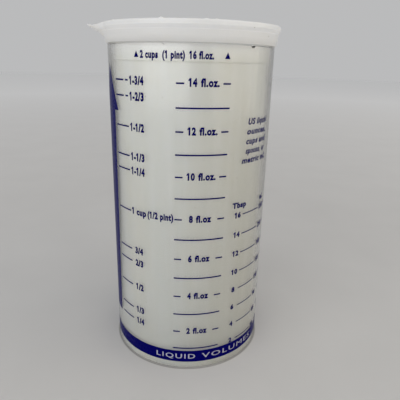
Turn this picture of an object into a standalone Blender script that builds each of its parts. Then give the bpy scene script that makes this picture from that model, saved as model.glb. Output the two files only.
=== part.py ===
"""A two-piece adjustable measuring cup, in metres.

A clear sleeve, open at both ends, stands on the table. A translucent cup with a flared rim and a
pour spout hangs in it, its ledge on the sleeve's top edge, and lifts out along +Z.
The origin is on the common axis at table height, +Z is up and the spout points towards -X.
"""

import math

import bmesh
import bpy

MM = 0.001
SEGMENTS = 80

# The clear sleeve
SLEEVE_RADIUS = 35.75 * MM
SLEEVE_WALL = 1.5 * MM
SLEEVE_HEIGHT = 140.2 * MM
SLEEVE_EDGE_ROUND = 0.4 * MM

# The fit between the two mouldings
SLIDING_GAP = 0.3 * MM
SLEEVE_BORE = SLEEVE_RADIUS - SLEEVE_WALL

# The cup's body: a plain wall between two guide rings that run in the sleeve's bore
GUIDE_RADIUS = SLEEVE_BORE - SLIDING_GAP
GUIDE_STEP = 0.3 * MM
CUP_RADIUS = GUIDE_RADIUS - GUIDE_STEP
CUP_INNER_RADIUS = 32.55 * MM
FLOOR_THICKNESS = 2.05 * MM
FLOOR_FILLET = 2.0 * MM
FOOT_CHAMFER = 0.5 * MM
FOOT_RING_TOP = 5.0 * MM
COLLAR_BOTTOM = 134.0 * MM

# The flared rim: a lower band, a small step and a wider lip
LEDGE_HEIGHT = SLEEVE_HEIGHT + SLIDING_GAP
LEDGE_ROUND = 0.5 * MM
BAND_BOTTOM_RADIUS = 36.35 * MM
BAND_TOP_RADIUS = 36.95 * MM
BAND_BULGE_HEIGHT = 142.6 * MM
BAND_BULGE_RADIUS = 36.75 * MM
STEP_HEIGHT = 145.3 * MM
STEP_RISE = 0.5 * MM
LIP_RADIUS = 37.8 * MM
RIM_HEIGHT = 148.2 * MM
LIP_ROUND = 0.45 * MM
RIM_WALL = 1.3 * MM
FUNNEL_BOTTOM = 139.0 * MM
FUNNEL_TOP = 142.6 * MM

# The pour spout, drawn out of the rim around the -X direction
SPOUT_REACH = 7.5 * MM
SPOUT_HALF_ANGLE = math.radians(23)
SPOUT_NOSE_ANGLE = math.radians(1.2)
SPOUT_POINTEDNESS = 1.6
SPOUT_BOTTOM = 142.0 * MM
SPOUT_KEEL_CURVE = 1.3
SPOUT_WALL_LAG = 0.5 * MM
SPOUT_EDGE_DIP = 0.7 * MM
SPOUT_DIP_BOTTOM = 144.0 * MM

WELD = 1e-6


def clear_scene():
    for thing in list(bpy.data.objects):
        bpy.data.objects.remove(thing, do_unlink=True)


def plastic(name, colour, roughness, alpha, transmission):
    material = bpy.data.materials.new(name)
    material.use_nodes = True
    shader = material.node_tree.nodes["Principled BSDF"]
    shader.inputs["Base Color"].default_value = (*colour, 1.0)
    shader.inputs["Metallic"].default_value = 0.0
    shader.inputs["Roughness"].default_value = roughness
    shader.inputs["Alpha"].default_value = alpha
    shader.inputs["Transmission Weight"].default_value = transmission
    return material


def corner_arc(centre_radius, centre_height, radius, start, end, steps=3):
    """Points of a rounded corner in the (radius, height) plane, from one angle to another in degrees."""
    points = []
    for step in range(steps + 1):
        angle = math.radians(start + (end - start) * step / steps)
        points.append((
            centre_radius + radius * math.cos(angle),
            centre_height + radius * math.sin(angle),
        ))
    return points


def turned(name, profile, closed):
    """Turns a profile of (radius, height) points about Z into one closed mesh object."""
    bm = bmesh.new()
    verts = [bm.verts.new((radius, 0.0, height)) for radius, height in profile]
    pairs = list(zip(verts, verts[1:]))
    if closed:
        pairs.append((verts[-1], verts[0]))
    edges = [bm.edges.new(pair) for pair in pairs]
    bmesh.ops.spin(
        bm,
        geom=verts + edges,
        cent=(0.0, 0.0, 0.0),
        axis=(0.0, 0.0, 1.0),
        angle=2 * math.pi,
        steps=SEGMENTS,
        use_merge=True,
    )
    bmesh.ops.remove_doubles(bm, verts=bm.verts, dist=WELD)
    bmesh.ops.recalc_face_normals(bm, faces=bm.faces)
    mesh = bpy.data.meshes.new(name)
    bm.to_mesh(mesh)
    bm.free()
    mesh.shade_smooth()
    mesh.set_sharp_from_angle(angle=math.radians(35))
    piece = bpy.data.objects.new(name, mesh)
    bpy.context.scene.collection.objects.link(piece)
    return piece


def sleeve_profile():
    """The tube's wall in section, with all four edges rounded."""
    soft = SLEEVE_EDGE_ROUND
    points = corner_arc(SLEEVE_RADIUS - soft, soft, soft, -90, 0)
    points += corner_arc(SLEEVE_RADIUS - soft, SLEEVE_HEIGHT - soft, soft, 0, 90)
    points += corner_arc(SLEEVE_BORE + soft, SLEEVE_HEIGHT - soft, soft, 90, 180)
    points += corner_arc(SLEEVE_BORE + soft, soft, soft, 180, 270)
    return points


def cup_outside():
    """From the middle of the base out and up to the underside of the ledge."""
    return [
        (0.0, 0.0),
        (GUIDE_RADIUS - FOOT_CHAMFER, 0.0),
        (GUIDE_RADIUS, FOOT_CHAMFER),
        (GUIDE_RADIUS, FOOT_RING_TOP),
        (CUP_RADIUS, FOOT_RING_TOP + GUIDE_STEP),
        (CUP_RADIUS, COLLAR_BOTTOM - GUIDE_STEP),
        (GUIDE_RADIUS, COLLAR_BOTTOM),
        (GUIDE_RADIUS, LEDGE_HEIGHT),
    ]


def rim_outside():
    """From the ledge's outer corner, over the band and the step, to the top of the lip."""
    ledge_centre = BAND_BOTTOM_RADIUS - LEDGE_ROUND
    points = corner_arc(ledge_centre, LEDGE_HEIGHT + LEDGE_ROUND, LEDGE_ROUND, -90, 0)
    points += [
        (BAND_BULGE_RADIUS, BAND_BULGE_HEIGHT),
        (BAND_TOP_RADIUS, STEP_HEIGHT),
        (LIP_RADIUS - LIP_ROUND / 2, STEP_HEIGHT + STEP_RISE),
        (LIP_RADIUS, STEP_HEIGHT + 2 * STEP_RISE),
    ]
    points += corner_arc(LIP_RADIUS - LIP_ROUND, RIM_HEIGHT - LIP_ROUND, LIP_ROUND, 0, 90)
    return points


def cup_inside():
    """From the top of the lip down the funnel and the bore to the middle of the floor."""
    lip_inner = LIP_RADIUS - RIM_WALL
    band_inner = BAND_BULGE_RADIUS - RIM_WALL
    fillet_centre = CUP_INNER_RADIUS - FLOOR_FILLET
    points = corner_arc(lip_inner + LIP_ROUND, RIM_HEIGHT - LIP_ROUND, LIP_ROUND, 90, 180)
    points += [
        (lip_inner, STEP_HEIGHT + 2 * STEP_RISE),
        (band_inner + STEP_RISE / 2, STEP_HEIGHT),
        (band_inner, FUNNEL_TOP),
        (CUP_INNER_RADIUS + STEP_RISE, FUNNEL_BOTTOM + 2 * STEP_RISE),
        (CUP_INNER_RADIUS, FUNNEL_BOTTOM),
    ]
    points += corner_arc(fillet_centre, FLOOR_THICKNESS + FLOOR_FILLET, FLOOR_FILLET, 0, -90)
    points.append((0.0, FLOOR_THICKNESS))
    return points


def ramp(value, low, high):
    """0 below low, 1 above high, straight in between."""
    return min(max((value - low) / (high - low), 0.0), 1.0)


def mid_wall_radius(height):
    """Halfway between the rim's outer and inner surfaces, before the spout is drawn out."""
    outer = LIP_RADIUS if height > STEP_HEIGHT + WELD else BAND_BULGE_RADIUS
    return outer - RIM_WALL / 2


def draw_out_spout(cup):
    """Moves the rim's vertices near -X outwards, more so the higher they are, into a pointed trough."""
    for vert in cup.data.vertices:
        if vert.co.z < SPOUT_BOTTOM:
            continue
        radius = math.hypot(vert.co.x, vert.co.y)
        off_axis = math.atan2(vert.co.y, -vert.co.x)
        rounded = math.hypot(off_axis, SPOUT_NOSE_ANGLE) - SPOUT_NOSE_ANGLE
        across = max(1.0 - rounded / SPOUT_HALF_ANGLE, 0.0) ** SPOUT_POINTEDNESS
        lag = 0.0 if radius > mid_wall_radius(vert.co.z) else SPOUT_WALL_LAG
        up = ramp(vert.co.z - lag, SPOUT_BOTTOM, RIM_HEIGHT) ** SPOUT_KEEL_CURVE
        stretch = 1.0 + SPOUT_REACH * across * up / radius
        dip = ramp(vert.co.z, SPOUT_DIP_BOTTOM, RIM_HEIGHT) * 4 * across * (1.0 - across)
        vert.co.x *= stretch
        vert.co.y *= stretch
        vert.co.z -= SPOUT_EDGE_DIP * dip


def build_sleeve():
    sleeve = turned("outer_sleeve", sleeve_profile(), closed=True)
    sleeve.data.materials.append(plastic("clear_plastic", (0.93, 0.95, 0.95), 0.08, 0.35, 0.9))
    return sleeve


def build_cup():
    cup = turned("inner_cup", cup_outside() + rim_outside() + cup_inside(), closed=False)
    draw_out_spout(cup)
    cup.data.materials.append(plastic("translucent_plastic", (0.72, 0.73, 0.68), 0.35, 1.0, 0.15))
    return cup


def main():
    clear_scene()
    build_sleeve()
    build_cup()


main()
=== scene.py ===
"""Looks of the two-piece measuring cup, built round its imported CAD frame.

Metres, +Z up, the spout towards -X and the printed front towards -Y.
"""

import math

import bmesh
import bpy
from mathutils import Matrix, Vector


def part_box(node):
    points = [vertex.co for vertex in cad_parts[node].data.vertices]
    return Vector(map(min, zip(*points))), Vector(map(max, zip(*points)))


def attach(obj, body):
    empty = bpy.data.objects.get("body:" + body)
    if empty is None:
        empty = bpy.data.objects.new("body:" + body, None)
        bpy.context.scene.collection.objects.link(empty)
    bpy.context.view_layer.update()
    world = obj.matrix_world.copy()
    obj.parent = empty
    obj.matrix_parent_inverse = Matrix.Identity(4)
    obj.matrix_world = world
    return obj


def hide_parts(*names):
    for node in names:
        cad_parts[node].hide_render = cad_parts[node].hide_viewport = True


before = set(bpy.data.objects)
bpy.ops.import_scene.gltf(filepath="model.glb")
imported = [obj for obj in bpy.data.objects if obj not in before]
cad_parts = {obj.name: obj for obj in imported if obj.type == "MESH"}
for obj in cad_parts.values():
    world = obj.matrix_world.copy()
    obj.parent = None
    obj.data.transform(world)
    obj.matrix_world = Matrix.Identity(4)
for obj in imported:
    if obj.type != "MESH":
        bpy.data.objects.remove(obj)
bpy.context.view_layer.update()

MM = 0.001

# ---------------------------------------------------------------- sizes taken from the frame
_, sleeve_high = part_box("outer_sleeve")
cup_low, cup_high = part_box("inner_cup")
SLEEVE_RADIUS = sleeve_high.x
SLEEVE_HEIGHT = sleeve_high.z
RIM_HEIGHT = cup_high.z
LIP_RADIUS = cup_high.x
SPOUT_REACH = -cup_low.x - LIP_RADIUS

# ---------------------------------------------------------------- sizes of the mouldings
SLEEVE_WALL = 1.5 * MM
SLEEVE_EDGE_ROUND = 0.4 * MM
SLIDING_GAP = 0.3 * MM
LEDGE_HEIGHT = SLEEVE_HEIGHT + SLIDING_GAP

# The cup's body and its two guide rings
GUIDE_RADIUS = SLEEVE_RADIUS - SLEEVE_WALL - SLIDING_GAP
GUIDE_STEP = 0.3 * MM
CUP_RADIUS = GUIDE_RADIUS - GUIDE_STEP
CUP_INNER_RADIUS = 32.55 * MM
FLOOR_THICKNESS = 2.05 * MM
FLOOR_FILLET = 2.0 * MM
FOOT_ROUND = 0.5 * MM
FOOT_RING_TOP = 5.0 * MM
COLLAR_BOTTOM = 134.0 * MM
CRISP_ROUND = 0.1 * MM
LEDGE_INNER_ROUND = 0.2 * MM

# The flared rim: a lower band, a small step and a wider lip
LEDGE_RADIUS = 36.35 * MM
LEDGE_ROUND = 0.5 * MM
BULGE_RADIUS = 36.75 * MM
BULGE_HEIGHT = 142.8 * MM
BULGE_ROUND = 3.0 * MM
BAND_RADIUS = 36.95 * MM
STEP_HEIGHT = 145.3 * MM
STEP_DROP = 0.1 * MM
STEP_RISE = 1.1 * MM
STEP_ROUND = 0.8 * MM
LIP_DRAFT = 0.02 * MM
LIP_ROUND = 0.45 * MM
RIM_WALL = 1.3 * MM
BAND_WALL = RIM_WALL + 0.2 * MM
INNER_STEP_RISE = 1.0 * MM
INNER_STEP_TOP_ROUND = 0.5 * MM
INNER_STEP_ROUND = 0.4 * MM
FUNNEL_TOP = 142.6 * MM
FUNNEL_TOP_ROUND = 1.2 * MM
FUNNEL_BOTTOM = 139.0 * MM
FUNNEL_BOTTOM_ROUND = 1.5 * MM

# The pour spout, drawn out of the rim
SPOUT_HALF_ANGLE = math.radians(23)
SPOUT_NOSE_ANGLE = math.radians(1.2)
SPOUT_POINTEDNESS = 1.6
SPOUT_BOTTOM = 142.0 * MM
SPOUT_KEEL_CURVE = 1.3
SPOUT_WALL_LAG = 0.5 * MM
SPOUT_EDGE_DIP = 0.7 * MM
SPOUT_DIP_BOTTOM = 144.0 * MM
LIP_BOTTOM = STEP_HEIGHT + 0.2 * MM

# Small wear, each as (degrees round from the front, size); the widths are in degrees too
NIBS = (
    (-16.5, 0.45 * MM), (-52.0, 0.2 * MM), (8.0, 0.25 * MM), (13.5, 0.18 * MM), (118.0, 0.3 * MM),
)
NIB_WIDTH = 0.9
NIB_ROOT = 0.6 * MM
CHIPS = (
    (-16.0, 0.5 * MM), (5.0, 0.5 * MM), (41.0, 0.8 * MM), (150.0, 0.7 * MM), (-115.0, 0.5 * MM),
)
CHIP_WIDTH = 0.9

# How finely the two mouldings are meshed
SLEEVE_SIDES = 720
CUP_SIDES = 380
SPOUT_SIDES = 96
SPOUT_MESH_MARGIN = 1.15
RIM_LONGEST_EDGE = 0.5 * MM
FILLET_STEPS = 6
FILLET_MOST_SHARE = 0.49
ON_AXIS = 1e-7


# ---------------------------------------------------------------- node helpers
def feed(tree, socket, value):
    """Links another node's output to a socket, or sets the socket to a number, vector or colour."""
    if isinstance(value, bpy.types.NodeSocket):
        tree.links.new(value, socket)
    elif socket.type == "RGBA":
        socket.default_value = (*value, 1.0)
    else:
        socket.default_value = value


def node(tree, kind, inputs, output, **settings):
    """One output of a new node with these settings and inputs."""
    made = tree.nodes.new(kind)
    for key, value in settings.items():
        setattr(made, key, value)
    for key, value in inputs.items():
        feed(tree, made.inputs[key], value)
    return made.outputs[output]


def object_place(tree):
    return node(tree, "ShaderNodeTexCoord", {}, "Object")


def object_axis(tree, axis):
    return node(tree, "ShaderNodeSeparateXYZ", {"Vector": object_place(tree)}, axis)


def stretched_place(tree, stretch):
    """Object coordinates in millimetres, times stretch."""
    scale = tuple(share / MM for share in stretch)
    return node(tree, "ShaderNodeMapping", {"Vector": object_place(tree), "Scale": scale}, "Vector")


def noise(tree, stretch, detail, roughness=0.5):
    """Noise over the object, finer along an axis the higher its stretch is."""
    return node(tree, "ShaderNodeTexNoise", {
        "Vector": stretched_place(tree, stretch), "Scale": 1.0, "Detail": detail, "Roughness": roughness,
    }, "Fac")


def remap(tree, value, low, high, to_low=0.0, to_high=1.0):
    return node(tree, "ShaderNodeMapRange", {
        "Value": value, "From Min": low, "From Max": high, "To Min": to_low, "To Max": to_high,
    }, "Result")


def mix_colours(tree, factor, first, second, blend_type="MIX"):
    inputs = {"Factor": factor, "A": first, "B": second}
    return node(tree, "ShaderNodeMix", inputs, "Result", data_type="RGBA", blend_type=blend_type)


def multiply(tree, first, second):
    return mix_colours(tree, 1.0, first, second, blend_type="MULTIPLY")


def mix_values(tree, factor, first, second):
    return node(tree, "ShaderNodeMix", {"Factor": factor, "A": first, "B": second}, "Result")


def calculate(tree, operation, first, second=0.0):
    return node(tree, "ShaderNodeMath", {0: first, 1: second}, "Value", operation=operation)


def bump(tree, height, strength, depth):
    inputs = {"Height": height, "Strength": strength, "Distance": depth}
    return node(tree, "ShaderNodeBump", inputs, "Normal")


def new_material(name):
    material = bpy.data.materials.new(name)
    material.use_nodes = True
    return material, material.node_tree


def finish_shader(tree, inputs):
    shader = tree.nodes["Principled BSDF"]
    for key, value in inputs.items():
        feed(tree, shader.inputs[key], value)


# ---------------------------------------------------------------- materials
WHITE = (1.0, 1.0, 1.0)
BLACK = (0.0, 0.0, 0.0)

CLEAR_COLOUR = (0.97, 0.975, 0.96)
CLEAR_IOR = 1.52
SCRATCH_SHARE = 0.18

MILKY_IOR = 1.49
COOL_PATCH, WARM_PATCH = (0.975, 0.99, 0.97), (1.0, 0.985, 0.92)
FLOW_MARK = (0.94, 0.945, 0.92)
RIM_TINT = (0.99, 0.99, 0.98)
SPECK_COLOUR = (0.30, 0.28, 0.23)
SPECK_INNER, SPECK_OUTER = 0.03, 0.05
SPECKS_PER_MM = 0.2

# Painted shade and light on the cup, as (height in millimetres, shade): darker towards the bottom as if lit
# from above, a paler painted glow in the foot ring behind the band, painted shadow lines at the collar's foot
# and the rim's lower edge, paler under the ledge where its shadow would fall, and a painted highlight along
# the rim's step
PAINTED_SHADES_BY_HEIGHT = (
    (0.0, 0.50), (2.8, 0.50), (3.4, 0.66), (7.0, 0.66), (8.0, 0.47), (30.0, 0.57),
    (60.0, 0.62), (100.0, 0.655), (133.5, 0.71),
    (133.9, 0.58), (134.3, 0.72), (137.5, 0.79), (140.3, 0.84), (140.9, 0.65),
    (142.5, 0.71), (144.9, 0.76), (145.4, 1.0), (146.1, 1.0), (146.7, 0.83),
)
# The foot ring's painted glow behind the band's letters is tinted blue between these heights in millimetres,
# by this much
PAINTED_GLOW_FROM, PAINTED_GLOW_TO = 3.0, 7.5
PAINTED_GLOW_BLUENESS = 1.1

INK_THIN, INK_THICK = (0.0001, 0.0001, 0.088), (0.0004, 0.0003, 0.105)
INK_IOR = 1.09

PAPER_DARK, PAPER_LIGHT = (0.61, 0.605, 0.60), (0.67, 0.665, 0.66)
# The floor is painted this pale far off, fading in between these distances in metres: painted light where
# less lamp light falls, so that it meets the sky without a horizon
PAINTED_LIGHT_FAR = (0.95, 0.95, 0.95)
FAR_FROM, FAR_TO = 0.25, 1.6
CONTACT_RADIUS = SLEEVE_RADIUS + 0.2 * MM
CONTACT_REACH = 0.8 * MM
CONTACT_SHARE = 0.4
# Painted shade on the floor close to the lamps, against their pool of light: it lies towards -Y, in a ring
# about the origin whose darker tone fades in over the first pair of distances and out over the second
LAMP_SIDE_Y = -0.5
LAMP_FLOOR_EDGES = ((0.35, 1.1), (2.6, 1.8))
LAMP_FLOOR_PAINTED_SHADE = (0.50, 0.50, 0.50)


def clear_plastic():
    """Clear plastic: glossy, with a haze of fine scuffs, long ripples and short scratches."""
    material, tree = new_material("clear_plastic")
    scuffs = noise(tree, (0.25, 0.25, 0.04), 6.0, 0.7)
    ripples = noise(tree, (0.12, 0.12, 0.01), 2.0)
    scratches = noise(tree, (1.4, 1.4, 0.5), 3.0)
    finish_shader(tree, {
        "Base Color": CLEAR_COLOUR,
        "Transmission Weight": 1.0,
        "IOR": CLEAR_IOR,
        "Roughness": remap(tree, scuffs, 0.35, 0.75, 0.10, 0.20),
        "Normal": bump(tree, mix_values(tree, SCRATCH_SHARE, ripples, scratches), 0.15, 0.0004),
    })
    return material


def below_rim(tree):
    """1 on the cup's wall, falling to 0 on the rim."""
    return remap(tree, object_axis(tree, "Z"), COLLAR_BOTTOM, LEDGE_HEIGHT, 1.0, 0.0)


def height_shade(tree):
    """The cup's painted shade by height: deep along the wall and darker towards the bottom as if lit from
    above, paler and cooler in the foot ring as a painted glow behind the band, pale in the rim, with a
    painted highlight on its step.
    """
    ramp_node = tree.nodes.new("ShaderNodeValToRGB")
    feed(tree, ramp_node.inputs["Fac"], remap(tree, object_axis(tree, "Z"), 0.0, RIM_HEIGHT))
    elements = ramp_node.color_ramp.elements
    for index, (height, shade) in enumerate(PAINTED_SHADES_BY_HEIGHT):
        # A new ramp comes with two stops.
        element = elements[index] if index < 2 else elements.new(1.0)
        element.position = height * MM / RIM_HEIGHT
        # Stops in the foot ring get the painted glow's blue tint.
        cool = PAINTED_GLOW_BLUENESS if PAINTED_GLOW_FROM < height < PAINTED_GLOW_TO else 1.0
        element.color = (shade / cool, shade / cool, shade * cool, 1)
    return ramp_node.outputs["Color"]


def translucent_plastic():
    """Natural polypropylene: milky, satin, with upright flow marks, warm and cool patches and dark specks,
    under painted shade and light by height.
    """
    material, tree = new_material("translucent_plastic")
    patches = noise(tree, (0.035, 0.035, 0.01), 3.0)
    flow = noise(tree, (0.30, 0.30, 0.012), 5.0, 0.65)
    waves = noise(tree, (0.10, 0.10, 0.03), 2.0)
    dimples = noise(tree, (0.45, 0.45, 0.30), 4.0)
    tint = mix_colours(tree, remap(tree, patches, 0.4, 0.6), COOL_PATCH, WARM_PATCH)
    streaks = mix_colours(tree, remap(tree, flow, 0.35, 0.65), FLOW_MARK, WHITE)
    marks = mix_colours(tree, below_rim(tree), RIM_TINT, multiply(tree, tint, streaks))
    # The marks, times the painted shade and light by height.
    milky = multiply(tree, height_shade(tree), marks)
    speck_place = {"Vector": stretched_place(tree, (1, 1, 1)), "Scale": SPECKS_PER_MM}
    from_speck = node(tree, "ShaderNodeTexVoronoi", speck_place, "Distance")
    speck = remap(tree, from_speck, SPECK_INNER, SPECK_OUTER, 1.0, 0.0)
    uneven = mix_values(tree, below_rim(tree), dimples, remap(tree, waves, 0.0, 1.0, 0.0, 0.3))
    finish_shader(tree, {
        "Base Color": mix_colours(tree, speck, milky, SPECK_COLOUR),
        "Subsurface Weight": 1.0,
        "Subsurface Radius": (1.0, 0.95, 0.85),
        "Subsurface Scale": 0.006,
        "IOR": MILKY_IOR,
        "Roughness": remap(tree, patches, 0.3, 0.7, 0.18, 0.28),
        "Normal": bump(tree, uneven, 0.12, 0.0004),
    })
    return material


def ink():
    """Navy screen print, slightly uneven in cover."""
    material, tree = new_material("ink")
    cover = noise(tree, (1.3, 1.3, 1.3), 4.0)
    finish_shader(tree, {
        "Base Color": mix_colours(tree, remap(tree, cover, 0.35, 0.7), INK_THIN, INK_THICK),
        "IOR": INK_IOR,
        "Roughness": remap(tree, cover, 0.3, 0.7, 0.2, 0.35),
        "Normal": bump(tree, cover, 0.1, 0.0001),
    })
    return material


def floor_paper():
    """Pale paper, painted paler far off so that it meets the sky, and painted darker close to the lamps, a
    painted shade against their pool of light, so that it looks even from behind.

    A thin dark ring under the sleeve's edge stands in for the shadow that the sleeve doesn't cast.
    """
    material, tree = new_material("floor_paper")
    near = mix_colours(tree, noise(tree, (0.02, 0.02, 0.02), 3.0), PAPER_DARK, PAPER_LIGHT)
    place = {"Vector": object_place(tree)}
    distance = node(tree, "ShaderNodeVectorMath", place, "Value", operation="LENGTH")
    # Painted light: paler far off.
    shade = mix_colours(tree, remap(tree, distance, FAR_FROM, FAR_TO), near, PAINTED_LIGHT_FAR)
    # Painted shade close to the lamps, against their pool of light.
    painted_shade_by_lamps = remap(tree, object_axis(tree, "Y"), 0.0, LAMP_SIDE_Y)
    for low, high in LAMP_FLOOR_EDGES:
        painted_shade_by_lamps = calculate(tree, "MULTIPLY", painted_shade_by_lamps, remap(tree, distance, low, high))
    shade = multiply(tree, shade, mix_colours(tree, painted_shade_by_lamps, WHITE, LAMP_FLOOR_PAINTED_SHADE))
    aside = calculate(tree, "ABSOLUTE", calculate(tree, "SUBTRACT", distance, CONTACT_RADIUS))
    light_share = remap(tree, aside, 0.0, CONTACT_REACH, CONTACT_SHARE, 1.0)
    contact = mix_colours(tree, light_share, BLACK, WHITE)
    finish_shader(tree, {"Base Color": multiply(tree, shade, contact), "Roughness": 0.85})
    return material


# ---------------------------------------------------------------- turned mouldings
def filleted(corners):
    """A (radius, height) outline through corners given as (radius, height, fillet radius)."""
    outline = []
    for index, (r, z, fillet) in enumerate(corners):
        here = Vector((r, z))
        if not fillet:
            outline.append(here)
            continue
        before = Vector(corners[index - 1][:2]) - here
        after = Vector(corners[(index + 1) % len(corners)][:2]) - here
        half = before.angle(after) / 2
        most = FILLET_MOST_SHARE * min(before.length, after.length)
        reach = min(fillet / math.tan(half), most)
        start = here + before.normalized() * reach
        end = here + after.normalized() * reach
        for step in range(FILLET_STEPS + 1):
            t = step / FILLET_STEPS
            outline.append(start * (1 - t) ** 2 + here * 2 * t * (1 - t) + end * t ** 2)
    return outline


def rim_subdivided(outline):
    """Splits an open outline's stretches in the rim, so that none is longer than RIM_LONGEST_EDGE."""
    finer = []
    for start, end in zip(outline, outline[1:]):
        parts = 1
        if max(start.y, end.y) > SPOUT_BOTTOM:
            parts = max(1, math.ceil((end - start).length / RIM_LONGEST_EDGE))
        finer += [start.lerp(end, part / parts) for part in range(parts)]
    return finer + [outline[-1]]


def even_angles(count):
    return [2 * math.pi * step / count for step in range(count)]


def spout_angles():
    """Angles round the cup from the spout's direction, close together across the spout."""
    edge = SPOUT_HALF_ANGLE * SPOUT_MESH_MARGIN
    across = [-edge + 2 * edge * step / SPOUT_SIDES for step in range(SPOUT_SIDES)]
    rest = [edge + (2 * math.pi - 2 * edge) * step / CUP_SIDES for step in range(CUP_SIDES)]
    return across + rest


def mesh_from(bm, name):
    mesh = bpy.data.meshes.new(name)
    bm.to_mesh(mesh)
    bm.free()
    return mesh


def turned_mesh(name, outline, angles, closed):
    """A mesh turned about Z from an outline of (radius, height) points."""
    bm = bmesh.new()
    rings = []
    for point in outline:
        if point.x < ON_AXIS:
            rings.append([bm.verts.new((0, 0, point.y))] * len(angles))
            continue
        rings.append([
            bm.verts.new((-point.x * math.cos(a), point.x * math.sin(a), point.y)) for a in angles
        ])
    for low, high in zip(rings, rings[1:] + rings[:1] if closed else rings[1:]):
        for step in range(len(angles)):
            after = (step + 1) % len(angles)
            corners = [low[step], high[step], high[after], low[after]]
            bm.faces.new(list(dict.fromkeys(corners)))
    bmesh.ops.recalc_face_normals(bm, faces=bm.faces)
    mesh = mesh_from(bm, name)
    mesh.shade_smooth()
    return mesh


def link(thing):
    bpy.context.scene.collection.objects.link(thing)


def add_piece(name, mesh, material, body):
    piece = bpy.data.objects.new(name, mesh)
    link(piece)
    mesh.materials.append(material)
    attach(piece, body)
    return piece


def wear_at(vert, place, width):
    """1 at this place round the object, falling off over width, both in degrees from -Y towards +X."""
    angle = math.degrees(math.atan2(vert.co.x, -vert.co.y))
    return math.exp(-((angle - place) / width) ** 2)


def chip_top_edge(mesh):
    """Small worn chips in the sleeve's top edge."""
    for vert in mesh.vertices:
        if vert.co.z < SLEEVE_HEIGHT / 2:
            continue
        for place, deep in CHIPS:
            vert.co.z -= deep * wear_at(vert, place, CHIP_WIDTH)


def build_sleeve(material):
    bore = SLEEVE_RADIUS - SLEEVE_WALL
    outline = filleted([
        (SLEEVE_RADIUS, 0, 2 * SLEEVE_EDGE_ROUND),
        (SLEEVE_RADIUS, SLEEVE_HEIGHT, SLEEVE_EDGE_ROUND),
        (bore, SLEEVE_HEIGHT, SLEEVE_EDGE_ROUND),
        (bore, 0, SLEEVE_EDGE_ROUND),
    ])
    mesh = turned_mesh("clear_sleeve", outline, even_angles(SLEEVE_SIDES), closed=True)
    chip_top_edge(mesh)
    sleeve = add_piece("clear_sleeve", mesh, material, "sleeve")
    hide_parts("outer_sleeve")
    # The renderer would give clear plastic the shadow of a solid one.
    sleeve.visible_shadow = False


def cup_corners():
    """The cup's section as (radius, height, fillet radius), from the base's middle round to the floor's."""
    lip_inner = LIP_RADIUS - RIM_WALL
    band_inner = BAND_RADIUS - BAND_WALL
    return [
        (0, 0, 0),
        (GUIDE_RADIUS, 0, FOOT_ROUND),
        (GUIDE_RADIUS, FOOT_RING_TOP, CRISP_ROUND),
        (CUP_RADIUS, FOOT_RING_TOP + GUIDE_STEP, CRISP_ROUND),
        (CUP_RADIUS, COLLAR_BOTTOM - GUIDE_STEP / 2, CRISP_ROUND),
        (GUIDE_RADIUS, COLLAR_BOTTOM, CRISP_ROUND),
        (GUIDE_RADIUS, LEDGE_HEIGHT, LEDGE_INNER_ROUND),
        (LEDGE_RADIUS, LEDGE_HEIGHT, LEDGE_ROUND),
        (BULGE_RADIUS, BULGE_HEIGHT, BULGE_ROUND),
        (BAND_RADIUS, STEP_HEIGHT - STEP_DROP, STEP_ROUND),
        (LIP_RADIUS - LIP_DRAFT, STEP_HEIGHT + STEP_RISE, STEP_ROUND),
        (LIP_RADIUS, RIM_HEIGHT, LIP_ROUND),
        (lip_inner, RIM_HEIGHT, LIP_ROUND),
        (lip_inner, STEP_HEIGHT + INNER_STEP_RISE, INNER_STEP_TOP_ROUND),
        (band_inner, STEP_HEIGHT, INNER_STEP_ROUND),
        (band_inner, FUNNEL_TOP, FUNNEL_TOP_ROUND),
        (CUP_INNER_RADIUS, FUNNEL_BOTTOM, FUNNEL_BOTTOM_ROUND),
        (CUP_INNER_RADIUS, FLOOR_THICKNESS, FLOOR_FILLET),
        (0, FLOOR_THICKNESS, 0),
    ]


def ramp(value, low, high):
    """0 below low, 1 above high, straight in between."""
    return min(max((value - low) / (high - low), 0.0), 1.0)


def draw_out_spout(mesh):
    """Pulls the rim outwards round -X into a pointed trough, more so the higher it is."""
    for vert in mesh.vertices:
        if vert.co.z < SPOUT_BOTTOM:
            continue
        radius = math.hypot(vert.co.x, vert.co.y)
        off_axis = math.atan2(vert.co.y, -vert.co.x)
        rounded = math.hypot(off_axis, SPOUT_NOSE_ANGLE) - SPOUT_NOSE_ANGLE
        across = max(1.0 - rounded / SPOUT_HALF_ANGLE, 0.0) ** SPOUT_POINTEDNESS
        outer = LIP_RADIUS if vert.co.z > LIP_BOTTOM else BAND_RADIUS
        lag = 0.0 if radius > outer - RIM_WALL / 2 else SPOUT_WALL_LAG
        up = ramp(vert.co.z - lag, SPOUT_BOTTOM, RIM_HEIGHT) ** SPOUT_KEEL_CURVE
        stretch = 1.0 + SPOUT_REACH * across * up / radius
        dip = ramp(vert.co.z, SPOUT_DIP_BOTTOM, RIM_HEIGHT) * 4 * across * (1.0 - across)
        vert.co = (vert.co.x * stretch, vert.co.y * stretch, vert.co.z - SPOUT_EDGE_DIP * dip)


def roughen_lip(mesh):
    """Leaves a few small nibs of flash on the rim's top edge."""
    for vert in mesh.vertices:
        up = ramp(vert.co.z, RIM_HEIGHT - NIB_ROOT, RIM_HEIGHT)
        if not up:
            continue
        for place, tall in NIBS:
            vert.co.z += tall * up * wear_at(vert, place, NIB_WIDTH)


def build_cup(material):
    outline = rim_subdivided(filleted(cup_corners()))
    mesh = turned_mesh("milky_cup", outline, spout_angles(), closed=False)
    draw_out_spout(mesh)
    roughen_lip(mesh)
    cup = add_piece("milky_cup", mesh, material, "cup")
    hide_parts("inner_cup")


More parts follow.
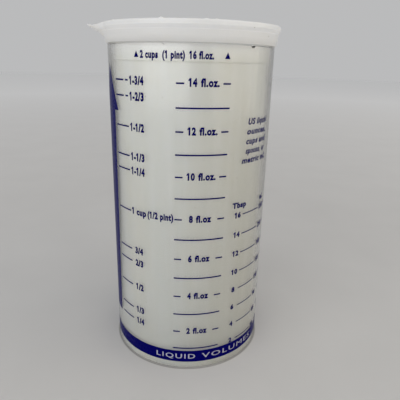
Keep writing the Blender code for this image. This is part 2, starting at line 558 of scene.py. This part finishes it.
# ---------------------------------------------------------------- the printed scale
# Flat artwork is drawn as (arc in metres, height), then wrapped on the sleeve's outside.
# Places round the sleeve are in degrees from the front, -Y, towards +X.
PRINT_RADIUS = SLEEVE_RADIUS + 0.01 * MM
INK_THICKNESS = 0.03 * MM
DEGREE = math.radians(1) * PRINT_RADIUS
WRAP_STEP = 2.0
CUT_TOLERANCE = 1e-7
LINE_WEIGHT = 0.62 * MM

# The whole print leans a little: it turns by this much for each millimetre above LEAN_HEIGHT
LEAN_PER_MM = math.radians(0.0125)
LEAN_HEIGHT = 70 * MM

# Letters, as shares of the em
CURVE_STEPS = 3
BOLD = 0.055
NOTE_BOLD = 0.038
NOTE_SLANT = 0.22
TEXT_SPACING = 1.13
FLAG_REACH = 0.15
FLAG_TOP, FLAG_BOTTOM, FLAG_NECK = 0.84, 0.64, 0.74
BAND_LETTER_BOLD = 0.014
BAND_LETTER_SPACING = 1.2
OUTLINE_WELD = 1e-5

FLUID_OUNCE = 29.5735e-6
OUNCES_IN_CUP = 8
OUNCE_RISE = FLUID_OUNCE / (math.pi * CUP_INNER_RADIUS ** 2)

FULL_MARK_HEIGHT = 136.25 * MM
FULL_MARK_CAP = 2.4 * MM
FULL_MARK_WORDS = (("2 cups", -32.7, -20.5), ("(1 pint)", -17.8, -4.4), ("16 fl.oz.", -2.0, 12.5))
TRIANGLE_PLACES = (-35.6, 21.0)
TRIANGLE_HALF = 1.75
TRIANGLE_BELOW, TRIANGLE_ABOVE = 1.1 * MM, 1.2 * MM

OUNCES_FROM, OUNCES_TO = -9.5, 23.9
OUNCE_DASH = 4.95
OUNCES_CAP = 2.65 * MM
OUNCES_RAISED = 0.35 * MM
TOP_OUNCES = 14
TWO_DIGITS, LATE_UNIT = (-2.1, 3.1), (5.2, 16.6)
ONE_DIGIT, EARLY_UNIT = (0.0, 2.6), (4.5, 14.8)

CUP_FRACTIONS = (
    (1, 3, 4), (1, 2, 3), (1, 1, 2), (1, 1, 3), (1, 1, 4),
    (0, 3, 4), (0, 2, 3), (0, 1, 2), (0, 1, 3), (0, 1, 4),
)
CUPS_TICK_FROM, CUPS_TICK_TO = -57.6, -43.4
BROKEN_TICKS = ((1, 3), (1, 2))
BREAK_TO, BREAK_FROM = 4.4, 2.6
CUPS_RAISED = 0.35 * MM
MIXED_PLACE, MIXED_CAP = (-42.0, -30.4), 2.85 * MM
FRACTION_PLACE, FRACTION_CAP = (-40.0, -32.8), 2.7 * MM
ONE_CUP_WORDS = (("1 cup", -42.5, -29.7), ("(1/2 pint)", -28.6, -10.2))
ONE_CUP_CAP = 2.6 * MM
ONE_CUP_RAISED = 0.3 * MM

SMALL_CAP = 2.2 * MM
SMALL_HEADING_HEIGHT = 77.6 * MM
SMALL_TOP_OUNCES = 8
SPOONS_PER_OUNCE = 2
SPOONS_HEADING_PLACE = (30.1, 42.4)
SPOONS_TWO_DIGITS, SPOONS_ONE_DIGIT = (32.3, 37.8), (33.4, 36.2)
SPOONS_TICK_FROM, SPOONS_TICK_TO = 39.6, 58.0
SPOONS_LINE_WEIGHT = 0.45 * MM
MILLILITRES_PER_OUNCE = 30
MILLILITRES_HEADING_PLACE = (60.8, 67.0)
THREE_DIGITS, MILLILITRES_TWO_DIGITS = (60.6, 68.6), (60.6, 66.0)
MILLILITRES_TICK_FROM, MILLILITRES_TICK_TO = 71.0, 78.0
MILLILITRES_LINE_WEIGHT = 0.34 * MM

NOTE_LINES = (
    ("US liquid", 39.6, 62.8),
    ("ounces,", 39.0, 61.6),
    ("cups and", 38.6, 62.6),
    ("spoons, or", 38.6, 62.0),
    ("metric mL", 35.6, 64.4),
)
NOTE_TOP_MM = 112.0
NOTE_LINE_DROP_MM = 3.9
NOTE_CAP = 2.3 * MM

ARROW_MIDDLE = -69.2
ARROW_TOP, ARROW_SHOULDER, ARROW_FOOT = 132.6 * MM, 114.6 * MM, 18.4 * MM
ARROW_HEAD_HALF, ARROW_NECK_HALF, ARROW_FOOT_HALF = 14.0, 8.8, 7.0

BAND_LOW, BAND_HIGH = 3.55 * MM, 9.48 * MM
BAND_WORDS = (("LIQUID", -22.2, 6.9), ("VOLUMES", 11.8, 60.0))
BAND_WORDS_FROM, BAND_WORDS_TO = -28.0, 92.0
BAND_CAP = 2.4 * MM


def mark_height(ounces):
    """Height of the level that this many US fluid ounces reach in the cup."""
    return FLOOR_THICKNESS + ounces * OUNCE_RISE


class Artwork:
    """Flat shapes of one ink piece, with text laid out from Blender's own font."""

    def __init__(self, name):
        self.name = name
        self.bm = bmesh.new()

    def polygon(self, points):
        """A filled polygon through (degrees, height) points."""
        self.bm.faces.new([self.bm.verts.new((a * DEGREE, z, 0)) for a, z in points])

    def bar(self, start, end, low, high):
        self.polygon([(start, low), (end, low), (end, high), (start, high)])

    def line(self, start, end, height, weight=LINE_WEIGHT):
        self.bar(start, end, height - weight / 2, height + weight / 2)

    def text(self, words, start, end, height, cap, slant=0.0, bold=BOLD):
        """Words whose capitals are cap tall, filling start to end, with their middle at this height."""
        mesh = text_mesh(words, slant, bold, TEXT_SPACING)
        left, right = reach_across(mesh)
        width = (end - start) * DEGREE / (right - left)
        tall = cap / CAP_SHARE
        mesh.transform(Matrix.Translation((-left, -CAP_SHARE / 2, 0)))
        mesh.transform(Matrix.Diagonal((width, tall, 1, 1)))
        mesh.transform(Matrix.Translation((start * DEGREE, height, 0)))
        self.add(mesh)

    def add(self, mesh):
        self.bm.from_mesh(mesh)
        bpy.data.meshes.remove(mesh)

    def wrapped(self, material):
        """Cuts the artwork into narrow upright strips, bends it round the sleeve and thickens it."""
        bm = self.bm
        reach = [vert.co.x for vert in bm.verts]
        first = math.ceil(min(reach) / DEGREE / WRAP_STEP)
        last = math.floor(max(reach) / DEGREE / WRAP_STEP)
        for step in range(first, last + 1):
            bmesh.ops.bisect_plane(
                bm, geom=bm.verts[:] + bm.edges[:] + bm.faces[:], dist=CUT_TOLERANCE,
                plane_co=(step * WRAP_STEP * DEGREE, 0, 0), plane_no=(1, 0, 0),
            )
        for vert in bm.verts:
            angle = vert.co.x / PRINT_RADIUS + LEAN_PER_MM * (vert.co.y - LEAN_HEIGHT) / MM
            vert.co = (PRINT_RADIUS * math.sin(angle), -PRINT_RADIUS * math.cos(angle), vert.co.y)
        bm.normal_update()
        piece = add_piece(self.name, mesh_from(bm, self.name), material, "sleeve")
        thicken = piece.modifiers.new("thickness", "SOLIDIFY")
        thicken.thickness = INK_THICKNESS
        thicken.offset = 1.0
        # Its shadow on the milky cup behind would blur each letter.
        piece.visible_shadow = False


def reach_across(mesh):
    """The lowest and highest x of a mesh."""
    reach = [vert.co.x for vert in mesh.vertices]
    return min(reach), max(reach)


def text_mesh(words, slant, bold, spacing):
    """Flat filled words, one unit to the em. Each 1, a bare stroke in Blender's font, gets a flag."""
    mesh = plain_text_mesh(words, slant, bold, spacing)
    if "1" not in words:
        return mesh
    stroke = text_span("1", bold, spacing)
    bm = bmesh.new()
    bm.from_mesh(mesh)
    for index, letter in enumerate(words):
        if letter != "1":
            continue
        left = text_span(words[:index + 1], bold, spacing)[1] - (stroke[1] - stroke[0])
        corners = [
            (left, FLAG_NECK * CAP_SHARE), (left, CAP_SHARE + bold),
            (left - FLAG_REACH, FLAG_TOP * CAP_SHARE), (left - FLAG_REACH, FLAG_BOTTOM * CAP_SHARE),
        ]
        bm.faces.new([bm.verts.new((x, y, 0)) for x, y in corners])
    bm.to_mesh(mesh)
    bm.free()
    return mesh


def text_span(words, bold, spacing):
    """The lowest and highest x of words."""
    mesh = plain_text_mesh(words, 0.0, bold, spacing)
    span = reach_across(mesh)
    bpy.data.meshes.remove(mesh)
    return span


def filled_mesh(curve):
    """The flat mesh that Blender fills a curve or text with. The curve itself is removed."""
    carrier = bpy.data.objects.new(curve.name, curve)
    link(carrier)
    graph = bpy.context.evaluated_depsgraph_get()
    mesh = bpy.data.meshes.new_from_object(carrier.evaluated_get(graph))
    bpy.data.objects.remove(carrier)
    bpy.data.curves.remove(curve)
    return mesh


def plain_text_mesh(words, slant, bold, spacing):
    curve = bpy.data.curves.new("words", "FONT")
    curve.body = words
    curve.size = 1.0
    curve.shear = slant
    curve.offset = bold
    curve.space_character = spacing
    curve.resolution_u = CURVE_STEPS
    return filled_mesh(curve)


def measured_cap_share():
    """How tall a capital of Blender's font is, as a share of the em."""
    mesh = plain_text_mesh("H", 0.0, 0.0, 1.0)
    tall = max(vert.co.y for vert in mesh.vertices)
    bpy.data.meshes.remove(mesh)
    return tall


CAP_SHARE = measured_cap_share()


def print_full_mark(material):
    """The full mark's words, between two triangles that point up at the rim."""
    art = Artwork("print_full_mark")
    low, high = FULL_MARK_HEIGHT - TRIANGLE_BELOW, FULL_MARK_HEIGHT + TRIANGLE_ABOVE
    for middle in TRIANGLE_PLACES:
        art.polygon([(middle - TRIANGLE_HALF, low), (middle + TRIANGLE_HALF, low), (middle, high)])
    for words, start, end in FULL_MARK_WORDS:
        art.text(words, start, end, FULL_MARK_HEIGHT, FULL_MARK_CAP)
    art.wrapped(material)


def print_ounces(material):
    """The middle column: a line for each odd fluid ounce, a number between dashes for each even one."""
    art = Artwork("print_ounces")
    for ounces in range(1, TOP_OUNCES + 1):
        height = mark_height(ounces)
        if ounces % 2:
            art.line(OUNCES_FROM, OUNCES_TO, height)
            continue
        art.line(OUNCES_FROM, OUNCES_FROM + OUNCE_DASH, height)
        art.line(OUNCES_TO - OUNCE_DASH, OUNCES_TO, height)
        if ounces >= 10:
            words = ((str(ounces), TWO_DIGITS), ("fl.oz.", LATE_UNIT))
        else:
            words = ((str(ounces), ONE_DIGIT), ("fl.oz", EARLY_UNIT))
        for word, place in words:
            art.text(word, *place, height + OUNCES_RAISED, OUNCES_CAP)
    art.wrapped(material)


def print_cups(material):
    """The left column: fractions of a cup, each after its tick."""
    art = Artwork("print_cups")
    for whole, over, under in CUP_FRACTIONS:
        height = mark_height(OUNCES_IN_CUP * (whole + over / under)) + CUPS_RAISED
        label = f"{over}/{under}"
        if (whole, over) in BROKEN_TICKS:
            art.line(CUPS_TICK_FROM, CUPS_TICK_TO - BREAK_TO, height)
            art.line(CUPS_TICK_TO - BREAK_FROM, CUPS_TICK_TO, height)
        else:
            art.line(CUPS_TICK_FROM, CUPS_TICK_TO, height)
        if whole:
            art.text(f"{whole}-{label}", *MIXED_PLACE, height, MIXED_CAP)
        else:
            art.text(label, *FRACTION_PLACE, height, FRACTION_CAP)
    height = mark_height(OUNCES_IN_CUP) + CUPS_RAISED
    art.line(CUPS_TICK_FROM, CUPS_TICK_TO, height)
    for words, start, end in ONE_CUP_WORDS:
        art.text(words, start, end, height + ONE_CUP_RAISED, ONE_CUP_CAP)
    art.wrapped(material)


def print_spoons(material):
    """The right column: tablespoons, each with a thin tick at its right."""
    art = Artwork("print_tablespoons")
    art.text("Tbsp", *SPOONS_HEADING_PLACE, SMALL_HEADING_HEIGHT, SMALL_CAP)
    for ounces in range(1, SMALL_TOP_OUNCES + 1):
        height = mark_height(ounces)
        spoons = SPOONS_PER_OUNCE * ounces
        place = SPOONS_TWO_DIGITS if spoons >= 10 else SPOONS_ONE_DIGIT
        art.text(str(spoons), *place, height, SMALL_CAP)
        art.line(SPOONS_TICK_FROM, SPOONS_TICK_TO, height, SPOONS_LINE_WEIGHT)
    art.wrapped(material)


def print_millilitres(material):
    """The far right column: millilitres, in rounded steps of a fluid ounce."""
    art = Artwork("print_millilitres")
    art.text("mL", *MILLILITRES_HEADING_PLACE, SMALL_HEADING_HEIGHT, SMALL_CAP)
    for ounces in range(1, SMALL_TOP_OUNCES + 1):
        height = mark_height(ounces)
        millilitres = MILLILITRES_PER_OUNCE * ounces
        place = THREE_DIGITS if millilitres >= 100 else MILLILITRES_TWO_DIGITS
        art.text(str(millilitres), *place, height, SMALL_CAP)
        art.line(MILLILITRES_TICK_FROM, MILLILITRES_TICK_TO, height, MILLILITRES_LINE_WEIGHT)
    art.wrapped(material)


def print_note(material):
    """A generic note beside the scale, in slanted letters, naming its units."""
    art = Artwork("print_note")
    for row, (words, start, end) in enumerate(NOTE_LINES):
        height = (NOTE_TOP_MM - NOTE_LINE_DROP_MM * row) * MM
        art.text(words, start, end, height, NOTE_CAP, slant=NOTE_SLANT, bold=NOTE_BOLD)
    art.wrapped(material)


def print_arrow(material):
    """A broad arrow beside the cups column, pointing up to the full mark."""
    art = Artwork("print_arrow")
    art.polygon([
        (ARROW_MIDDLE - ARROW_HEAD_HALF, ARROW_SHOULDER),
        (ARROW_MIDDLE + ARROW_HEAD_HALF, ARROW_SHOULDER),
        (ARROW_MIDDLE, ARROW_TOP),
    ])
    art.polygon([
        (ARROW_MIDDLE - ARROW_FOOT_HALF, ARROW_FOOT),
        (ARROW_MIDDLE + ARROW_FOOT_HALF, ARROW_FOOT),
        (ARROW_MIDDLE + ARROW_NECK_HALF, ARROW_SHOULDER),
        (ARROW_MIDDLE - ARROW_NECK_HALF, ARROW_SHOULDER),
    ])
    art.wrapped(material)


def print_band(material):
    """A solid band round the sleeve's foot, in two pieces, the front one with letters left out of it."""
    lettered = Artwork("print_band_lettered")
    lettered.add(knocked_out_band())
    lettered.wrapped(material)
    plain = Artwork("print_band_plain")
    plain.bar(BAND_WORDS_TO, 360 + BAND_WORDS_FROM, BAND_LOW, BAND_HIGH)
    plain.wrapped(material)


def knocked_out_band():
    """A flat rectangle with letters cut out, by the even-odd fill of a 2D curve drawn in millimetres."""
    band = bpy.data.curves.new("band", "CURVE")
    band.dimensions = "2D"
    band.fill_mode = "BOTH"
    corners = (
        (BAND_WORDS_FROM, BAND_LOW), (BAND_WORDS_TO, BAND_LOW),
        (BAND_WORDS_TO, BAND_HIGH), (BAND_WORDS_FROM, BAND_HIGH),
    )
    add_outline(band, [(angle * DEGREE / MM, height / MM) for angle, height in corners])
    middle = (BAND_LOW + BAND_HIGH) / 2 / MM
    up = BAND_CAP / MM / CAP_SHARE
    for word, start, end in BAND_WORDS:
        outlines = letter_outlines(word)
        reach = [x for outline in outlines for x, _ in outline]
        across = (end - start) * DEGREE / MM / (max(reach) - min(reach))
        for outline in outlines:
            add_outline(band, [
                (start * DEGREE / MM + (x - min(reach)) * across, middle + (y - CAP_SHARE / 2) * up)
                for x, y in outline
            ])
    mesh = filled_mesh(band)
    mesh.transform(Matrix.Scale(MM, 4))
    return mesh


def add_outline(curve, points):
    spline = curve.splines.new("POLY")
    spline.points.add(len(points) - 1)
    for point, (x, y) in zip(spline.points, points):
        point.co = (x, y, 0, 1)
    spline.use_cyclic_u = True


def letter_outlines(word):
    """The edge loops of a word's letters, as lists of (x, y), one unit to the em."""
    mesh = text_mesh(word, 0.0, BAND_LETTER_BOLD, BAND_LETTER_SPACING)
    bm = bmesh.new()
    bm.from_mesh(mesh)
    bpy.data.meshes.remove(mesh)
    bmesh.ops.remove_doubles(bm, verts=bm.verts, dist=OUTLINE_WELD)
    # A dict keeps the edges in order, so that every run gives the same outlines.
    edges = dict.fromkeys(edge for edge in bm.edges if len(edge.link_faces) == 1)
    outlines = []
    while edges:
        edge, _ = edges.popitem()
        first, vert = edge.verts
        outline = [first]
        while vert is not first:
            outline.append(vert)
            edge = next(e for e in vert.link_edges if e in edges)
            del edges[edge]
            vert = edge.other_vert(vert)
        outlines.append([(v.co.x, v.co.y) for v in outline])
    bm.free()
    return outlines


# ---------------------------------------------------------------- stage, light and camera
FLOOR_RINGS = (0.25, 0.6, 1.5, 4.0)
FLOOR_SIDES = 64

LAMP_TARGET = (0, 0, 0.10)
WORLD_COLOUR = (0.985, 0.99, 1.0)
WORLD_STRENGTH = 0.50

CAMERA_DISTANCE = 191.7 * MM
CAMERA_HEIGHT = 134.3 * MM
CAMERA_YAW = math.radians(1.59)
CAMERA_PITCH = math.radians(-18.59)
CAMERA_ROLL = math.radians(1.36)
CAMERA_CLIP_START = 0.005
SENSOR_WIDTH = 36.0
LENS = 37.2


def build_floor(material):
    """A wide pale table top, round so that no corner shows from any side."""
    bm = bmesh.new()
    angles = even_angles(FLOOR_SIDES)
    rings = [
        [bm.verts.new((radius * math.cos(a), radius * math.sin(a), 0)) for a in angles]
        for radius in FLOOR_RINGS
    ]
    bm.faces.new(rings[0])
    for inner, outer in zip(rings, rings[1:]):
        for step in range(FLOOR_SIDES):
            after = (step + 1) % FLOOR_SIDES
            bm.faces.new([inner[step], outer[step], outer[after], inner[after]])
    bmesh.ops.recalc_face_normals(bm, faces=bm.faces)
    mesh = mesh_from(bm, "floor")
    mesh.materials.append(material)
    floor = bpy.data.objects.new("floor", mesh)
    link(floor)


def area_light(name, place, size, power, colour, through_clear):
    """A soft lamp facing LAMP_TARGET. through_clear says if it is seen through the clear sleeve."""
    lamp = bpy.data.lights.new(name, "AREA")
    lamp.shape = "RECTANGLE"
    lamp.size, lamp.size_y = size
    lamp.energy = power
    lamp.color = colour
    holder = bpy.data.objects.new(name, lamp)
    holder.location = place
    holder.rotation_mode = "QUATERNION"
    facing = Vector(LAMP_TARGET) - Vector(place)
    holder.rotation_quaternion = facing.to_track_quat("-Z", "Y")
    link(holder)
    holder.visible_transmission = through_clear


def build_lights():
    """A neutral key from the front left, a warm fill from the right and an even pale sky."""
    area_light(
        "key", place=(-0.84, -1.28, 0.60), size=(2.0, 1.2), power=11.3, colour=(1.0, 0.995, 0.98),
        through_clear=True,
    )
    area_light(
        "fill", place=(1.2, -0.60, 0.56), size=(2.2, 1.8), power=10.0, colour=(1.0, 0.91, 0.76),
        through_clear=False,
    )
    world = bpy.data.worlds.new("studio")
    bpy.context.scene.world = world
    world.use_nodes = True
    background = world.node_tree.nodes["Background"]
    background.inputs["Color"].default_value = (*WORLD_COLOUR, 1)
    background.inputs["Strength"].default_value = WORLD_STRENGTH


def build_camera():
    camera_data = bpy.data.cameras.new("camera")
    camera_data.sensor_width = SENSOR_WIDTH
    camera_data.lens = LENS
    camera_data.clip_start = CAMERA_CLIP_START
    camera = bpy.data.objects.new("camera", camera_data)
    forward = Vector((
        math.sin(CAMERA_YAW) * math.cos(CAMERA_PITCH),
        math.cos(CAMERA_YAW) * math.cos(CAMERA_PITCH),
        math.sin(CAMERA_PITCH),
    ))
    level = Vector((math.cos(CAMERA_YAW), -math.sin(CAMERA_YAW), 0))
    above = level.cross(forward)
    right = level * math.cos(CAMERA_ROLL) + above * math.sin(CAMERA_ROLL)
    up = above * math.cos(CAMERA_ROLL) - level * math.sin(CAMERA_ROLL)
    turn = Matrix((right, up, -forward)).transposed()
    camera.matrix_world = Matrix.Translation((0, -CAMERA_DISTANCE, CAMERA_HEIGHT)) @ turn.to_4x4()
    link(camera)
    bpy.context.scene.camera = camera


build_camera()
build_lights()
build_floor(floor_paper())
build_sleeve(clear_plastic())
build_cup(translucent_plastic())
navy = ink()
for print_part in (
    print_full_mark, print_ounces, print_cups, print_spoons, print_millilitres, print_note, print_arrow,
    print_band,
):
    print_part(navy)
bpy.context.scene.view_settings.view_transform = "Standard"
